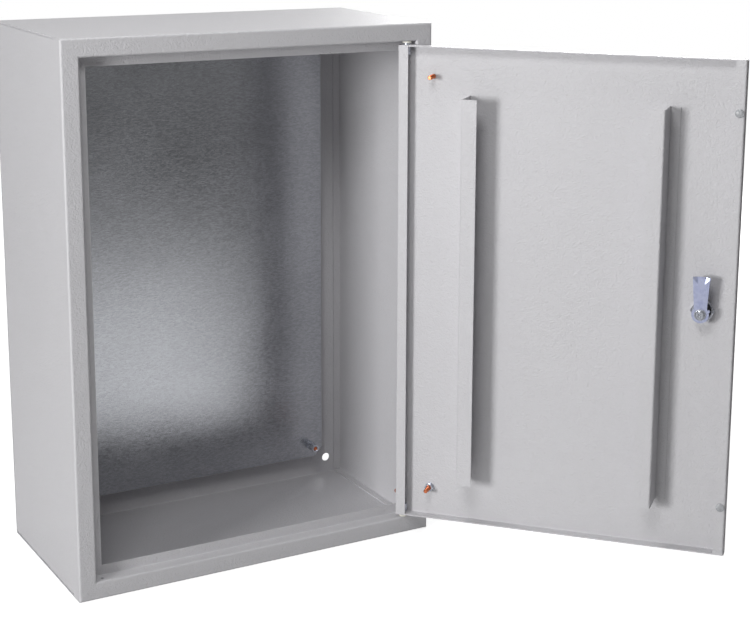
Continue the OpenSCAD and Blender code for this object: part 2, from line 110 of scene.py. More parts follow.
# %% Wires and graphs
class Wire:
    """One output socket, with operators that add Math nodes."""

    def __init__(self, graph, socket):
        self.graph = graph
        self.socket = socket

    def _math(self, operation, a, b=None):
        inputs = {0: a} if b is None else {0: a, 1: b}
        return self.graph.node("ShaderNodeMath", inputs, operation=operation)

    def __add__(self, other):
        return self._math("ADD", self, other)

    def __radd__(self, other):
        return self._math("ADD", other, self)

    def __sub__(self, other):
        return self._math("SUBTRACT", self, other)

    def __rsub__(self, other):
        return self._math("SUBTRACT", other, self)

    def __mul__(self, other):
        return self._math("MULTIPLY", self, other)

    def __rmul__(self, other):
        return self._math("MULTIPLY", other, self)

    def __truediv__(self, other):
        return self._math("DIVIDE", self, other)

    def __rtruediv__(self, other):
        return self._math("DIVIDE", other, self)

    def apply(self, operation, other=None):
        return self._math(operation, self, other)

    def clamp(self, low=0.0, high=1.0):
        return self.apply("MAXIMUM", low).apply("MINIMUM", high)


class Graph:
    """A node tree that is filled by calls to node()."""

    def __init__(self, tree):
        self.tree = tree

    def node(self, kind, inputs=None, out=0, stops=None, **settings):
        made = self.tree.nodes.new(kind)
        for name, value in settings.items():
            setattr(made, name, value)
        if stops:
            ramp = made.color_ramp
            while len(ramp.elements) < len(stops):
                ramp.elements.new(0.5)
            for element, (place, colour) in zip(ramp.elements, stops):
                element.position = place
                element.color = colour
        for key, value in (inputs or {}).items():
            if isinstance(value, Wire):
                self.tree.links.new(value.socket, made.inputs[key])
            else:
                made.inputs[key].default_value = value
        return Wire(self, made.outputs[out]) if len(made.outputs) else made

    def mix_colour(self, factor, a, b):
        return self.node("ShaderNodeMix", {0: factor, 6: a, 7: b}, out=2, data_type="RGBA")


print("graph helpers ready")

# %% [markdown]
# ## Colours as people write them
#
# Paint cards give colours as red, green and blue from 0 to 255. Shaders want linear
# light, so one helper turns the first into the second.


# %% Colour helper
def paint_card(red, green, blue):
    """Linear colour of an sRGB colour card value."""

    def linear(v):
        v = v / 255
        return v / 12.92 if v <= 0.04045 else ((v + 0.055) / 1.055) ** 2.4

    return (linear(red), linear(green), linear(blue), 1.0)


def start_material(name, **uniform):
    """A new material, its graph and its Principled shader, with uniform numbers set."""
    material = bpy.data.materials.new(name)
    material.use_nodes = True
    shader = material.node_tree.nodes["Principled BSDF"]
    for socket, value in uniform.items():
        shader.inputs[socket.replace("_", " ")].default_value = value
    return material, Graph(material.node_tree), shader


def feed(graph, shader, **wires):
    """Links wires to named inputs of the shader."""
    for socket, wire in wires.items():
        graph.tree.links.new(wire.socket, shader.inputs[socket.replace("_", " ")])


def object_place(graph, scale=(1, 1, 1)):
    """Object coordinates in metres, stretched by scale."""
    place = graph.node("ShaderNodeTexCoord", out=3)
    return graph.node("ShaderNodeMapping", {"Vector": place, "Scale": scale})


print("light grey card", [round(v, 3) for v in paint_card(208, 207, 212)])

# %% [markdown]
# ## Powder coat
#
# Steel boxes are dusted with dry paint and baked. The paint never flows quite flat: it
# keeps an orange peel of soft hills a few millimetres apart, with a finer grain on top.
# Two noises make that bump. A third, very wide one shifts the shade by a percent or two,
# as handling and uneven baking do, and a fourth leaves faint dust in the roughness.


# %% Powder coat
def powder_coat():
    material, graph, shader = start_material("light_grey_powder_coat", Specular_IOR_Level=0.42)
    place = object_place(graph)
    wide = graph.node("ShaderNodeTexNoise", {"Vector": place, "Scale": 5.0, "Detail": 3.0})
    cloud = graph.node("ShaderNodeTexNoise", {"Vector": place, "Scale": 38.0, "Detail": 5.0})
    peel = graph.node(
        "ShaderNodeTexNoise",
        {"Vector": place, "Scale": 260.0, "Detail": 2.0, "Distortion": 1.1},
    )
    grain = graph.node("ShaderNodeTexNoise", {"Vector": place, "Scale": 1400.0, "Detail": 2.0})
    shade = ((wide - 0.5) * 0.30 + (cloud - 0.5) * 0.22 + 0.5).clamp()
    colour = graph.mix_colour(shade, paint_card(199, 198, 201), paint_card(212, 211, 214))
    roughness = (0.43 + (cloud - 0.5) * 0.16 + (grain - 0.5) * 0.10).clamp(0.25, 0.7)
    height = peel + grain * 0.22
    bump = graph.node(
        "ShaderNodeBump", {"Strength": 0.6, "Distance": 0.0016, "Height": height}
    )
    feed(graph, shader, Base_Color=colour, Roughness=roughness, Normal=bump)
    return material


coat = powder_coat()
print("made", coat.name)

# %% [markdown]
# ## Hot-dip galvanising
#
# Zinc freezes on the sheet as spangle: flat crystals that each tilt a little, so that some
# glint and some stay dark. Rolling smears them into fine streaks. Cells from a Voronoi
# texture give each crystal its own shade and gloss, and a stretched noise adds the streaks.


# %% Galvanised sheet
def galvanised_sheet():
    material, graph, shader = start_material("galvanised_sheet", Metallic=1.0)
    place = object_place(graph)
    streaked = object_place(graph, scale=(0.55, 1.0, 1.3))
    cells = graph.node(
        "ShaderNodeTexVoronoi", {"Vector": streaked, "Scale": 520.0}, out=1, feature="F1"
    )
    crystal = graph.node("ShaderNodeSeparateColor", {0: cells})
    streak = graph.node("ShaderNodeTexNoise", {"Vector": streaked, "Scale": 1500.0, "Detail": 3.0})
    stain = graph.node("ShaderNodeTexNoise", {"Vector": place, "Scale": 9.0, "Detail": 4.0})
    pits = graph.node("ShaderNodeTexNoise", {"Vector": place, "Scale": 900.0, "Detail": 3.0})
    shade = (crystal * 0.35 + (streak - 0.5) * 0.9 + (stain - 0.5) * 0.5 + 0.32).clamp()
    colour = graph.mix_colour(shade, paint_card(138, 139, 143), paint_card(196, 198, 203))
    roughness = (0.17 + crystal * 0.08 + (stain - 0.5) * 0.10).clamp(0.1, 0.5)
    height = crystal * 0.5 + streak + pits * 0.5
    bump = graph.node("ShaderNodeBump", {"Strength": 0.22, "Distance": 0.0003, "Height": height})
    feed(graph, shader, Base_Color=colour, Roughness=roughness, Normal=bump)
    return material


galvanised = galvanised_sheet()
print("made", galvanised.name)

# %% [markdown]
# ## Small metals
#
# Bright zinc plate has a cool tint and fine tumbling marks. Copper-flashed studs are warm
# and a little tarnished. Both are a metal colour that two noises vary, with rougher spots
# where the tarnish is, so one function makes every small metal.


# %% Plated metal
def plated_metal(name, clean, dull, gloss, mark_scale=1500.0):
    material, graph, shader = start_material(name, Metallic=0.86)
    place = object_place(graph)
    marks = graph.node(
        "ShaderNodeTexNoise", {"Vector": place, "Scale": mark_scale, "Detail": 3.0}
    )
    tarnish = graph.node("ShaderNodeTexNoise", {"Vector": place, "Scale": 170.0, "Detail": 4.0})
    amount = ((tarnish - 0.42) * 3.0).clamp()
    colour = graph.mix_colour(amount, clean, dull)
    roughness = (gloss + amount * 0.16 + (marks - 0.5) * 0.12).clamp(0.1, 0.8)
    bump = graph.node("ShaderNodeBump", {"Strength": 0.25, "Distance": 0.0002, "Height": marks})
    feed(graph, shader, Base_Color=colour, Roughness=roughness, Normal=bump)
    return material


zinc = plated_metal("bright_zinc_plate", paint_card(205, 208, 216), paint_card(168, 172, 184), 0.22)
cam_zinc = plated_metal("blued_zinc_cam", paint_card(176, 181, 206), paint_card(142, 148, 178), 0.38)
copper = plated_metal("copper_flash", paint_card(224, 132, 92), paint_card(164, 78, 50), 0.26)
print("made", zinc.name, cam_zinc.name, copper.name)

# %% [markdown]
# ## Coated, moulded and clear pieces
#
# The lock barrel is a casting with a black coat, its seal is rubber, the hinge bushes are
# natural nylon and the bumpers are clear soft plastic. Each is a plain shader with a fine
# grain in its colour, its roughness and its bump.


# %% Coats and plastics
def grained(name, light, dark, gloss, scale, bump_strength, **uniform):
    material, graph, shader = start_material(name, **uniform)
    place = object_place(graph)
    grain = graph.node("ShaderNodeTexNoise", {"Vector": place, "Scale": scale, "Detail": 4.0})
    colour = graph.mix_colour(grain, dark, light)
    roughness = (gloss + (grain - 0.5) * 0.2).clamp(0.05, 0.95)
    bump = graph.node(
        "ShaderNodeBump", {"Strength": bump_strength, "Distance": 0.0002, "Height": grain}
    )
    feed(graph, shader, Base_Color=colour, Roughness=roughness, Normal=bump)
    return material


black_coat = grained(
    "black_coated_casting", paint_card(48, 48, 50), paint_card(26, 26, 28), 0.38, 900.0, 0.3
)
seal_rubber = grained(
    "black_rubber", paint_card(44, 44, 44), paint_card(28, 28, 28), 0.75, 1200.0, 0.4
)
nylon = grained(
    "natural_nylon", paint_card(236, 235, 226), paint_card(218, 216, 205), 0.42, 800.0, 0.2
)
clear_soft = grained(
    "clear_soft_plastic",
    paint_card(226, 228, 230),
    paint_card(206, 208, 212),
    0.16,
    600.0,
    0.15,
    Transmission_Weight=0.55,
    IOR=1.45,
)
print("made", black_coat.name, seal_rubber.name, nylon.name, clear_soft.name)

# %% [markdown]
# ## Dressing the frame's own pieces
#
# Most bent sheets already have their true shape, so they stay and only take a finish.
# A table from node to finish keeps that in one place.

# %% Finishes for the frame's nodes
FINISH = {
    coat: [
        "body_wrap", "left_side_panel", "right_side_panel",
        "door_pan", "hinge_side_stiffener", "lock_side_stiffener",
    ],
    galvanised: ["mounting_plate"],
    zinc: [
        "plate_standoffs", "plate_washers", "plate_nuts", "door_earth_washer", "door_earth_nut",
        "upper_hinge_pin", "lower_hinge_pin", "upper_hinge_nuts", "lower_hinge_nuts",
        "lock_nut", "lock_insert", "cam_washer", "cam_screw",
    ],
    cam_zinc: ["lock_cam"],
    copper: ["plate_studs", "body_earth_stud", "door_upper_stud", "door_lower_stud"],
    nylon: ["upper_hinge_bush", "lower_hinge_bush"],
    clear_soft: ["upper_bumper", "lower_bumper"],
    black_coat: ["lock_housing"],
    seal_rubber: ["lock_seal"],
}
dressed = 0
for finish, names in FINISH.items():
    for name in names:
        for slot in nodes[name].material_slots:
            slot.material = finish
            dressed += 1
print("finished slots:", dressed, "of", len(nodes), "nodes")

# %% [markdown]
# ## Real threads
#
# A stud without a thread looks like a nail. The thread is a rule: the radius falls and
# rises once per pitch, and the pattern slides round by one pitch per turn. Geometry Nodes
# is ideal for a rule. A flat grid is rolled up: one side of the grid becomes the angle, the
# other the height, and the thread rule sets the radius. The first and last rows shrink to
# the axis, which closes both ends.


# %% A Geometry Nodes tree from named inputs
def new_tree(name, sizes, objects=()):
    """An empty Geometry Nodes tree with its inputs, and the wires of those inputs."""
    tree = bpy.data.node_groups.new(name, "GeometryNodeTree")
    face = tree.interface
    face.new_socket("Geometry", in_out="INPUT", socket_type="NodeSocketGeometry")
    for label in objects:
        face.new_socket(label, in_out="INPUT", socket_type="NodeSocketObject")
    for label in sizes:
        face.new_socket(label, in_out="INPUT", socket_type="NodeSocketFloat")
    face.new_socket("Material", in_out="INPUT", socket_type="NodeSocketMaterial")
    face.new_socket("Geometry", in_out="OUTPUT", socket_type="NodeSocketGeometry")
    graph = Graph(tree)
    entry = tree.nodes.new("NodeGroupInput")
    wires = {s.name: Wire(graph, s) for s in entry.outputs if s.name}
    return tree, graph, wires


def end_tree(graph, geometry, material):
    """Realize Instances, Set Material and the output."""
    real = graph.node("GeometryNodeRealizeInstances", {0: geometry})
    done = graph.node("GeometryNodeSetMaterial", {"Geometry": real, "Material": material})
    graph.node("NodeGroupOutput", {0: done})


def thread_tree(turn_steps=28):
    names = ["Radius", "Length", "Pitch", "Depth", "Chamfer", "Rows"]
    tree, graph, size = new_tree("rolled_thread", names)
    rows = size["Rows"]
    grid = graph.node(
        "GeometryNodeMeshGrid",
        {"Size X": 1.0, "Size Y": 1.0, "Vertices X": turn_steps + 1, "Vertices Y": rows},
    )
    place = graph.node("ShaderNodeSeparateXYZ", {0: graph.node("GeometryNodeInputPosition")})
    turn = place + 0.5
    along = Wire(graph, place.socket.node.outputs[1]) + 0.5
    step = 1.0 / (rows - 1.0)
    inner = ((along - step) / (1.0 - 2.0 * step)).clamp()
    height = inner * size["Length"]
    phase = (height / size["Pitch"] - turn).apply("FRACT")
    ridge = (phase - 0.5).apply("ABSOLUTE") * 2.0
    end_gap = height.apply("MINIMUM", size["Length"] - height)
    cone = size["Radius"] - size["Chamfer"] + end_gap
    radius = (size["Radius"] - size["Depth"] * ridge).apply("MINIMUM", cone)
    on_end = (along - 0.5).apply("ABSOLUTE").apply("GREATER_THAN", 0.5 - step * 0.5)
    radius = radius * (1.0 - on_end)
    angle = turn * (2 * math.pi)
    rolled = graph.node(
        "ShaderNodeCombineXYZ",
        {0: angle.apply("COSINE") * radius, 1: angle.apply("SINE") * radius, 2: height},
    )
    shaped = graph.node("GeometryNodeSetPosition", {"Geometry": grid, "Position": rolled})
    closed = graph.node("GeometryNodeMergeByDistance", {"Geometry": shaped, "Distance": 1e-6})
    end_tree(graph, closed, size["Material"])
    return tree


THREAD_PITCH_STEPS = 5
thread_group = thread_tree()
print("thread tree has", len(thread_group.nodes), "nodes")

# %% [markdown]
# ## Running a tree
#
# The inputs of a modifier are set by the socket's identifier. The evaluated result is then
# copied to a plain mesh, so that nothing procedural is left on the finished piece.


# %% Run a tree and keep its mesh
def run_tree(tree, base, values):
    """The plain mesh that a tree makes from the object base with these input values."""
    modifier = base.modifiers.new("maker", "NODES")
    modifier.node_group = tree
    for item in tree.interface.items_tree:
        if item.in_out == "INPUT" and item.name in values:
            modifier[item.identifier] = values[item.name]
    graph = bpy.context.evaluated_depsgraph_get()
    mesh = bpy.data.meshes.new_from_object(base.evaluated_get(graph), depsgraph=graph)
    bpy.data.objects.remove(base)
    return mesh


def base_object(points=(), edges=()):
    """An object with only points and edges, for a tree to work on."""
    mesh = bpy.data.meshes.new("points")
    mesh.from_pydata([tuple(p) for p in points], list(edges), [])
    made = bpy.data.objects.new("points", mesh)
    scene.collection.objects.link(made)
    return made


def tidy_normals(mesh):
    """Merges doubles and turns every face outwards."""
    work = bmesh.new()
    work.from_mesh(mesh)
    bmesh.ops.remove_doubles(work, verts=work.verts, dist=1e-7)
    bmesh.ops.recalc_face_normals(work, faces=work.faces)
    work.to_mesh(mesh)
    work.free()
    return mesh


def aim(direction, at):
    """A matrix that lays the local Z axis along direction, from the point at."""
    turn = Vector(direction).normalized().to_track_quat("Z", "Y").to_matrix().to_4x4()
    return Matrix.Translation(at) @ turn


def threaded(radius, length, pitch, depth, chamfer, material, matrix):
    rows = int(round(length / pitch * THREAD_PITCH_STEPS)) + 3
    values = {
        "Radius": radius,
        "Length": length,
        "Pitch": pitch,
        "Depth": depth,
        "Chamfer": chamfer,
        "Rows": float(rows),
        "Material": material,
    }
    mesh = tidy_normals(run_tree(thread_group, base_object([(0, 0, 0)]), values))
    mesh.transform(matrix)
    return mesh


def join_meshes(name, meshes, material):
    """One object at the origin from several meshes that are already in place."""
    work = bmesh.new()
    for mesh in meshes:
        work.from_mesh(mesh)
    joined = bpy.data.meshes.new(name)
    work.to_mesh(joined)
    work.free()
    joined.materials.clear()
    joined.materials.append(material)
    made = bpy.data.objects.new(name, joined)
    scene.collection.objects.link(made)
    return made


def shade(piece, angle=35):
    """Smooth shading that keeps edges sharper than angle."""
    piece.data.shade_smooth()
    piece.data.set_sharp_from_angle(angle=math.radians(angle))
    return piece


print("tree runner ready")

# %% [markdown]
# ## Where each stud stands
#
# A node's box gives its place. A stud on the body is as long as its box along the stud's
# axis. The door rests open at an angle, so the direction of its studs comes from the
# record: the lock's axis is the door's outward normal.

# %% Directions from the record
joints = {j["name"]: j for j in frame["record"]["behaviour"]["joints"]}
door_out = Vector(joints["lock_turn"]["axis"]).normalized()
door_in = -door_out
door_side = Vector((-door_in.y, door_in.x, 0.0))
UP = Vector((0, 0, 1))


def middle(node):
    low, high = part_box(node)
    return (low + high) / 2


def reach(node, direction):
    """Lowest and highest distance of a node's points along a direction."""
    spans = [Vector(v.co).dot(direction) for v in nodes[node].data.vertices]
    return min(spans), max(spans)


def foot(node, direction):
    """The point on a turned part's axis where it starts, and its length along direction."""
    low, high = reach(node, direction)
    centre = middle(node)
    return centre + direction * (low - centre.dot(direction)), high - low


print("door faces", tuple(round(v, 3) for v in door_out))

# %% Threaded studs
M6 = {"radius": 3.0 * MM, "pitch": 1.0 * MM, "depth": 0.55 * MM, "chamfer": 0.8 * MM}


def make_stud(node, direction, body):
    start, length = foot(node, direction)
    mesh = threaded(length=length, material=copper, matrix=aim(direction, start), **M6)
    piece = shade(join_meshes(node + "_thread", [mesh], copper), 40)
    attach(piece, body)
    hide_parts(node)
    print(piece.name, "faces", len(piece.data.polygons))
    return piece


make_stud("body_earth_stud", Vector((-1, 0, 0)), "cabinet")
make_stud("door_upper_stud", door_in, "door")
make_stud("door_lower_stud", door_in, "door")

# %% [markdown]
# The plate's studs share one node, so their four places are the corners of that node's box,
# drawn in by the stud's radius.

# %% Plate studs
FRONT = Vector((0, -1, 0))


def corner_places(node, edge):
    """The four axis points, on the box's back plane, of a group set in a rectangle."""
    low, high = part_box(node)
    return [
        Vector((x, high.y, z))
        for x in (low.x + edge, high.x - edge)
        for z in (low.z + edge, high.z - edge)
    ]


stud_low, stud_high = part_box("plate_studs")
stud_places = corner_places("plate_studs", M6["radius"])
stud_meshes = [
    threaded(length=stud_high.y - stud_low.y, material=copper, matrix=aim(FRONT, p), **M6)
    for p in stud_places
]
plate_threads = shade(join_meshes("plate_stud_threads", stud_meshes, copper), 40)
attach(plate_threads, "cabinet")
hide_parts("plate_studs")
print("plate studs at", [tuple(round(v, 3) for v in p) for p in stud_places])

# %% [markdown]
# ## Chamfered nuts
#
# A real nut is a hexagon bar cut by a cone, so each side ends in a shallow arc. Going round
# the nut, the distance to the hexagon is known at each angle, and the cone lowers the edge
# where that distance is large. Rings of points between the bore, the countersink, the flat
# face and the sides then make the whole nut.


# %% A nut from rings
M6_NUT_FLATS = 10 * MM
PIN_NUT_FLATS = 8 * MM
LOCK_NUT_FLATS = 27 * MM
BORE_PLAY = 0.05 * MM
PIN_R = 2.5 * MM
BARREL_R = 11 * MM


def closed_rings(name, rings):
    """A closed surface through rings of points, where the last ring joins the first."""
    work = bmesh.new()
    loops = [[work.verts.new(point) for point in ring] for ring in rings]
    for k, first in enumerate(loops):
        second = loops[(k + 1) % len(loops)]
        for n in range(len(first)):
            m = (n + 1) % len(first)
            work.faces.new((first[n], first[m], second[m], second[n]))
    bmesh.ops.recalc_face_normals(work, faces=work.faces)
    mesh = bpy.data.meshes.new(name)
    work.to_mesh(mesh)
    work.free()
    return mesh


def nut_mesh(flats, height, bore, steps=72, chamfer_slope=0.55):
    """A hexagon nut round local Z, from 0 to height, with a flat facing local Y."""
    across = flats / 2
    face_ring = across * 0.97
    sink = min(0.6 * MM, (across - bore) * 0.4)
    rings = [[] for ring in range(8)]
    for n in range(steps):
        angle = 2 * math.pi * n / steps
        wedge = (angle + math.radians(30)) % math.radians(60) - math.radians(30)
        hexagon = across / math.cos(wedge)
        drop = (hexagon - face_ring) * chamfer_slope
        profile = [
            (bore, sink),
            (bore + sink, 0.0),
            (face_ring, 0.0),
            (hexagon, drop),
            (hexagon, height - drop),
            (face_ring, height),
            (bore + sink, height),
            (bore, height - sink),
        ]
        for ring, (radius, level) in zip(rings, profile):
            ring.append((radius * math.sin(angle), radius * math.cos(angle), level))
    return closed_rings("nut", rings)


print("nut sizes across flats:", [round(f / MM) for f in (PIN_NUT_FLATS, M6_NUT_FLATS, LOCK_NUT_FLATS)])

# %% [markdown]
# ## One tree that repeats a piece
#
# Nuts and weld spots repeat. A small tree puts a copy of one object on every point of
# another. The copies are sized before they are realized.


# %% Repeat on points
def repeat_tree():
    tree, graph, wires = new_tree("repeat_on_points", ["Uneven"], objects=["Piece"])
    points = graph.node("GeometryNodeMeshToPoints", {"Mesh": wires["Geometry"]})
    piece = graph.node("GeometryNodeObjectInfo", {"Object": wires["Piece"]}, out=4)
    chance = graph.node(
        "FunctionNodeRandomValue", {2: 0.0, 3: 1.0, "Seed": 7}, out=1, data_type="FLOAT"
    )
    size = 1.0 + (chance - 0.5) * wires["Uneven"]
    copies = graph.node(
        "GeometryNodeInstanceOnPoints", {"Points": points, "Instance": piece, "Scale": size}
    )
    end_tree(graph, copies, wires["Material"])
    return tree


repeat_group = repeat_tree()


def repeat_piece(name, mesh, points, material, uneven=0.0):
    """One object with a copy of mesh on every point."""
    part = bpy.data.objects.new("part", mesh)
    scene.collection.objects.link(part)
    values = {"Piece": part, "Uneven": uneven, "Material": material}
    made = run_tree(repeat_group, base_object(points), values)
    bpy.data.objects.remove(part)
    return join_meshes(name, [made], material)


print("repeat tree has", len(repeat_group.nodes), "nodes")

# %% Nuts of the mounting plate
nut_low, nut_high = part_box("plate_nuts")
long_nut = nut_mesh(M6_NUT_FLATS, nut_high.y - nut_low.y, M6["radius"] + BORE_PLAY)
long_nut.transform(aim(FRONT, (0, 0, 0)))
nut_places = [Vector((p.x, nut_high.y, p.z)) for p in stud_places]
plate_nuts = shade(repeat_piece("plate_nuts_chamfered", long_nut, nut_places, zinc), 25)
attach(plate_nuts, "cabinet")
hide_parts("plate_nuts")
print("plate nuts:", len(plate_nuts.data.polygons), "faces")


# %% Nuts of the door
def door_nut(name, node, flats, radius):
    start, length = foot(node, door_in)
    one = nut_mesh(flats, length, radius + BORE_PLAY)
    one.transform(aim(door_in, (0, 0, 0)))
    piece = shade(repeat_piece(name, one, [start], zinc), 25)
    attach(piece, "door")
    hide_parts(node)
    print(name, "faces", len(piece.data.polygons))
    return piece


door_nut("door_earth_nut_chamfered", "door_earth_nut", M6_NUT_FLATS, M6["radius"])
door_nut("lock_nut_chamfered", "lock_nut", LOCK_NUT_FLATS, BARREL_R)

# %% [markdown]
# The hinge pins carry two nuts each, set along Z. Their flats face the door sheet, so the
# nut is turned about Z until its flat looks along the door's normal.


# %% Nuts of the hinge pins
def hinge_nuts(node, name):
    low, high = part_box(node)
    one = nut_mesh(PIN_NUT_FLATS, (high.z - low.z) / 2, PIN_R + BORE_PLAY)
    face_angle = math.atan2(door_out.y, door_out.x) - math.pi / 2
    one.transform(Matrix.Rotation(face_angle, 4, "Z"))
    axis = Vector(joints["door_hinge"]["pos_m"])
    places = [Vector((axis.x, axis.y, low.z)), Vector((axis.x, axis.y, (low.z + high.z) / 2))]
    piece = shade(repeat_piece(name, one, places, zinc), 25)
    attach(piece, "door")
    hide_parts(node)
    return piece


upper_nuts = hinge_nuts("upper_hinge_nuts", "upper_hinge_nuts_chamfered")
lower_nuts = hinge_nuts("lower_hinge_nuts", "lower_hinge_nuts_chamfered")
print("hinge nuts:", len(upper_nuts.data.polygons), "faces each")

# %% [markdown]
# ## The lock barrel
#
# The barrel is threaded from the seal to the cam, and the big nut runs on it. The same
# thread tree makes it, with a coarser pitch. The outer head keeps its turned profile, which
# a small lathe function makes from a few points.


# %% Lathe and barrel
def lathe(profile, matrix, steps=64):
    """A closed surface of revolution round local Z from (radius, height) points."""
    turns = [2 * math.pi * n / steps for n in range(steps)]
    rings = [[(r * math.cos(a), r * math.sin(a), level) for a in turns] for r, level in profile]
    mesh = closed_rings("lathe", rings)
    mesh.transform(matrix)
    return mesh


lock_axis = Vector(joints["lock_turn"]["pos_m"])
housing_low, housing_high = reach("lock_housing", door_in)
lock_zero = lock_axis.dot(door_in)
HEAD_R = 14 * MM
HEAD_T = 4 * MM
INSERT_R = 6.1 * MM
FLANGE_R = 8.1 * MM
FLANGE_LEVEL = 3.0 * MM
seal_low = reach("lock_seal", door_in)[0]
barrel_start = lock_axis + door_in * (seal_low - lock_zero)
barrel_length = housing_high - seal_low
barrel_thread = threaded(
    radius=BARREL_R,
    length=barrel_length,
    pitch=1.5 * MM,
    depth=0.75 * MM,
    chamfer=0.8 * MM,
    material=black_coat,
    matrix=aim(door_in, barrel_start),
)
head_start = lock_axis + door_in * (housing_low - lock_zero)
head_profile = [
    (FLANGE_R, 0.0),
    (HEAD_R - 0.9 * MM, 0.0),
    (HEAD_R - 0.3 * MM, 0.25 * MM),
    (HEAD_R, 0.9 * MM),
    (HEAD_R, HEAD_T),
    (INSERT_R, HEAD_T),
    (INSERT_R, FLANGE_LEVEL),
    (FLANGE_R, FLANGE_LEVEL),
]
head = lathe(head_profile, aim(door_in, head_start))
housing = shade(join_meshes("lock_housing_threaded", [barrel_thread, head], black_coat), 30)
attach(housing, "door")
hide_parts("lock_housing")
print("lock barrel length", round(barrel_length * 1000, 1), "mm, faces", len(housing.data.polygons))

# %% [markdown]
# ## Weld beads
#
# The front corners are mitred and welded, then painted. Under the paint a narrow raised
# bead of overlapping scales stays visible. A line with two points is resampled to the
# pitch of the scales, and each new point gets a flattened ball that is turned along the
# line. A fixed seed makes the scales a little uneven.


# %% Weld bead tree
def bead_tree():
    tree, graph, size = new_tree("weld_bead", ["Pitch", "Width", "Height"])
    line = graph.node("GeometryNodeMeshToCurve", {0: size["Geometry"]})
    steps = graph.node(
        "GeometryNodeResampleCurve", {"Curve": line, "Length": size["Pitch"]}, mode="LENGTH"
    )
    points = graph.node("GeometryNodeCurveToPoints", {"Curve": steps}, mode="EVALUATED")
    turn = Wire(graph, points.socket.node.outputs["Rotation"])
    scale_ball = graph.node("GeometryNodeMeshUVSphere", {"Segments": 10, "Rings": 6, "Radius": 0.5})
    chance = graph.node(
        "FunctionNodeRandomValue", {2: 0.8, 3: 1.2, "Seed": 11}, out=1, data_type="FLOAT"
    )
    stretch = graph.node(
        "ShaderNodeCombineXYZ",
        {0: size["Height"] * chance, 1: size["Width"] * chance, 2: size["Pitch"] * 2.2},
    )
    copies = graph.node(
        "GeometryNodeInstanceOnPoints",
        {"Points": points, "Instance": scale_ball, "Rotation": turn, "Scale": stretch},
    )
    end_tree(graph, copies, size["Material"])
    return tree


bead_group = bead_tree()
print("bead tree has", len(bead_group.nodes), "nodes")

# %% Beads on the four mitres
body_low, body_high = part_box("body_wrap")
wrap_front = body_low.y
FLANGE_W = 23 * MM
BEND = 2.75 * MM
BEAD_RISE = 0.3
BEAD_SINK = 0.26 * MM
bead_lines = []
for side in (-1, 1):
    for end in (-1, 1):
        outer = Vector((side * (body_high.x - BEND), wrap_front, end * (body_high.z - BEND)))
        inner = Vector(
            (
                side * (body_high.x - FLANGE_W + BEND),
                wrap_front,
                end * (body_high.z - FLANGE_W + BEND),
            )
        )
        bead_lines.append((outer, inner))
bead_points = [p for line in bead_lines for p in line]
bead_edges = [(2 * n, 2 * n + 1) for n in range(len(bead_lines))]
bead_values = {"Pitch": 1.1 * MM, "Width": 1.7 * MM, "Height": 1.7 * MM, "Material": coat}
bead_mesh = run_tree(bead_group, base_object(bead_points, bead_edges), bead_values)
flatten = Matrix.Translation((0, wrap_front, 0)) @ Matrix.Scale(BEAD_RISE, 4, (0, 1, 0))
bead_mesh.transform(flatten @ Matrix.Translation((0, -wrap_front, 0)))
bead_mesh.transform(Matrix.Translation((0, BEAD_SINK, 0)))
beads = shade(join_meshes("corner_weld_beads", [bead_mesh], coat), 60)
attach(beads, "cabinet")
print("beads:", len(bead_lines), "lines,", len(beads.data.polygons), "faces")

# %% [markdown]
# ## Spot welds
#
# The stiffeners and the side panels are spot welded. Each spot is a shallow round mark that
# still shows under the paint. A flat lens is made once and repeated on a row of points.


# %% Spot weld marks
SHEET = 1.5 * MM
FOOT_HALF = 7 * MM
FOOT_END = 20 * MM


def spot_mesh(direction, radius=2.6 * MM, rise=0.18 * MM):
    profile = [(0.02 * MM, -0.05 * MM), (radius, -0.05 * MM), (radius, 0.0), (radius * 0.8, rise * 0.7)]
    profile += [(radius * 0.45, rise), (0.02 * MM, rise * 0.75)]
    return lathe(profile, aim(direction, (0, 0, 0)), steps=20)


def row(start, stop, spacing):
    """Evenly spaced points from start to stop, no further apart than spacing."""
    gaps = max(1, math.ceil((stop - start).length / spacing))
    return [start.lerp(stop, n / gaps) for n in range(gaps + 1)]


def stiffener_spots(node, outward_sign):
    """A row of spots on the foot of a stiffener."""
    edge = reach(node, door_side)[0 if outward_sign < 0 else 1]
    across = edge - outward_sign * FOOT_HALF
    low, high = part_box(node)
    base = door_side * across + door_in * (reach(node, door_in)[0] + SHEET)
    return row(base + UP * (low.z + FOOT_END), base + UP * (high.z - FOOT_END), 80 * MM)


door_spots = []
for node in ("hinge_side_stiffener", "lock_side_stiffener"):
    low, high = reach(node, door_side)
    pan_low, pan_high = reach("door_pan", door_side)
    outward = -1 if (low + high) < (pan_low + pan_high) else 1
    door_spots += stiffener_spots(node, outward)
door_marks = shade(repeat_piece("door_spot_welds", spot_mesh(door_in), door_spots, coat, 0.25), 50)
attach(door_marks, "door")
print("door spots:", len(door_spots))

# %% Spot welds along the rear and floor seams
SEAM = 12 * MM
rear_spots = []
floor_spots = []
for side in (-1, 1):
    x = side * (body_high.x - SEAM / 2 - SHEET / 2)
    z = body_high.z - 30 * MM
    rear_spots += row(Vector((x, -2 * SHEET, -z)), Vector((x, -2 * SHEET, z)), 75 * MM)
    floor = body_low.z + 2 * SHEET
    front, back = wrap_front + 35 * MM, -25 * MM
    floor_spots += row(Vector((x, front, floor)), Vector((x, back, floor)), 60 * MM)
rear_marks = repeat_piece("rear_spot_welds", spot_mesh(FRONT), rear_spots, coat, 0.25)
floor_marks = repeat_piece("floor_spot_welds", spot_mesh(UP), floor_spots, coat, 0.25)
for marks in (rear_marks, floor_marks):
    shade(marks, 50)
    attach(marks, "cabinet")
print("rear spots:", len(rear_spots), "floor spots:", len(floor_spots))

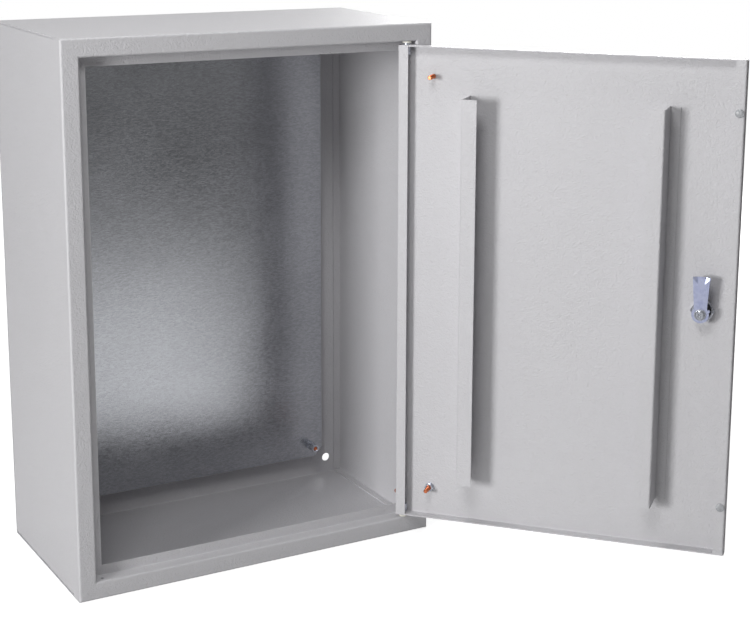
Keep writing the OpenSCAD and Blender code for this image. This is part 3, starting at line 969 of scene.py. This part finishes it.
# %% [markdown]
# ## Studio
#
# The box stands on a pale floor under soft lamps. One from the left lights the side and the
# open door, one above lights the top, two smaller ones fill the front, and one behind keeps
# the back from going dark. A low card at the right puts a soft bright patch on the
# galvanised plate. The world is white to the camera, grey to mirrors, and adds little light.
# The floor glows a little, more so further out, so that it fades into the white.


# %% Floor and world
def studio_floor(level, size=6.0):
    mesh = bpy.data.meshes.new("floor")
    h = size / 2
    corners = [(-h, -h, level), (h, -h, level), (h, h, level), (-h, h, level)]
    mesh.from_pydata(corners, [], [(0, 1, 2, 3)])
    floor = bpy.data.objects.new("floor", mesh)
    scene.collection.objects.link(floor)
    material, graph, shader = start_material("studio_floor", Roughness=0.9)
    shader.inputs["Base Color"].default_value = (0.60, 0.60, 0.60, 1)
    shader.inputs["Specular IOR Level"].default_value = 0.0
    camera_ray = graph.node("ShaderNodeLightPath")
    place = graph.node("ShaderNodeTexCoord", out=3)
    distance = graph.node("ShaderNodeVectorMath", {0: place}, out=1, operation="LENGTH")
    fade = ((distance - 0.8) / 1.2).clamp()
    brightness = 0.72 + 0.28 * fade
    white = (1, 1, 1, 1)
    glow = graph.node("ShaderNodeEmission", {"Color": white, "Strength": brightness})
    both = graph.node("ShaderNodeAddShader", {0: Wire(graph, shader.outputs[0]), 1: glow})
    pick = graph.node(
        "ShaderNodeMixShader", {0: camera_ray, 1: Wire(graph, shader.outputs[0]), 2: both}
    )
    output = material.node_tree.nodes["Material Output"]
    material.node_tree.links.new(pick.socket, output.inputs[0])
    mesh.materials.append(material)
    return floor


def studio_world(light_level, mirror_level):
    world = bpy.data.worlds.new("studio")
    scene.world = world
    world.use_nodes = True
    graph = Graph(world.node_tree)
    path = graph.node("ShaderNodeLightPath")
    outputs = path.socket.node.outputs
    seen = Wire(graph, outputs["Is Camera Ray"])
    mirrored = Wire(graph, outputs["Is Glossy Ray"])
    through = Wire(graph, outputs["Is Transmission Ray"])
    shown = (seen + through).clamp()
    strength = (
        light_level + shown * (1.0 - light_level) + mirrored * (mirror_level - light_level)
    )
    background = world.node_tree.nodes["Background"]
    background.inputs[0].default_value = (1, 1, 1, 1)
    world.node_tree.links.new(strength.socket, background.inputs[1])
    return world


floor = studio_floor(body_low.z)
studio_world(light_level=0.04, mirror_level=0.28)
print("floor at", round(body_low.z, 3))


# %% Lamps
def soft_lamp(name, place, aim_at, size, watts, spread=180):
    data = bpy.data.lights.new(name, "AREA")
    data.shape = "RECTANGLE"
    data.size, data.size_y = size
    data.energy = watts
    data.spread = math.radians(spread)
    lamp = bpy.data.objects.new(name, data)
    scene.collection.objects.link(lamp)
    lamp.location = place
    toward = Vector(aim_at) - Vector(place)
    lamp.rotation_euler = toward.to_track_quat("-Z", "Y").to_euler()
    return lamp


soft_lamp("left_lamp", (-2.9, -1.35, 0.5), (0.1, -0.3, 0.0), (0.7, 0.8), 64)
soft_lamp("top_lamp", (-0.1, -0.1, 2.2), (0.0, -0.15, 0.0), (0.9, 0.7), 4.3, spread=80)
soft_lamp("upper_lamp", (-0.75, -1.3, 1.3), (0.1, -0.3, 0.0), (0.6, 0.6), 8)
soft_lamp("near_lamp", (-0.35, -0.95, 1.05), (0.25, -0.3, 0.2), (0.4, 0.3), 1.3)
soft_lamp("rear_lamp", (1.9, 1.7, 0.9), (0.1, -0.2, 0.0), (1.0, 1.0), 38)
card = soft_lamp("low_card", (0.27, -0.97, -0.345), (0.27, -0.97, 1.0), (0.42, 1.24), 1.25)
card.rotation_euler = (math.pi, 0.0, math.radians(24.3))
card.visible_camera = False
card.visible_diffuse = False
scene.view_settings.view_transform = "Standard"
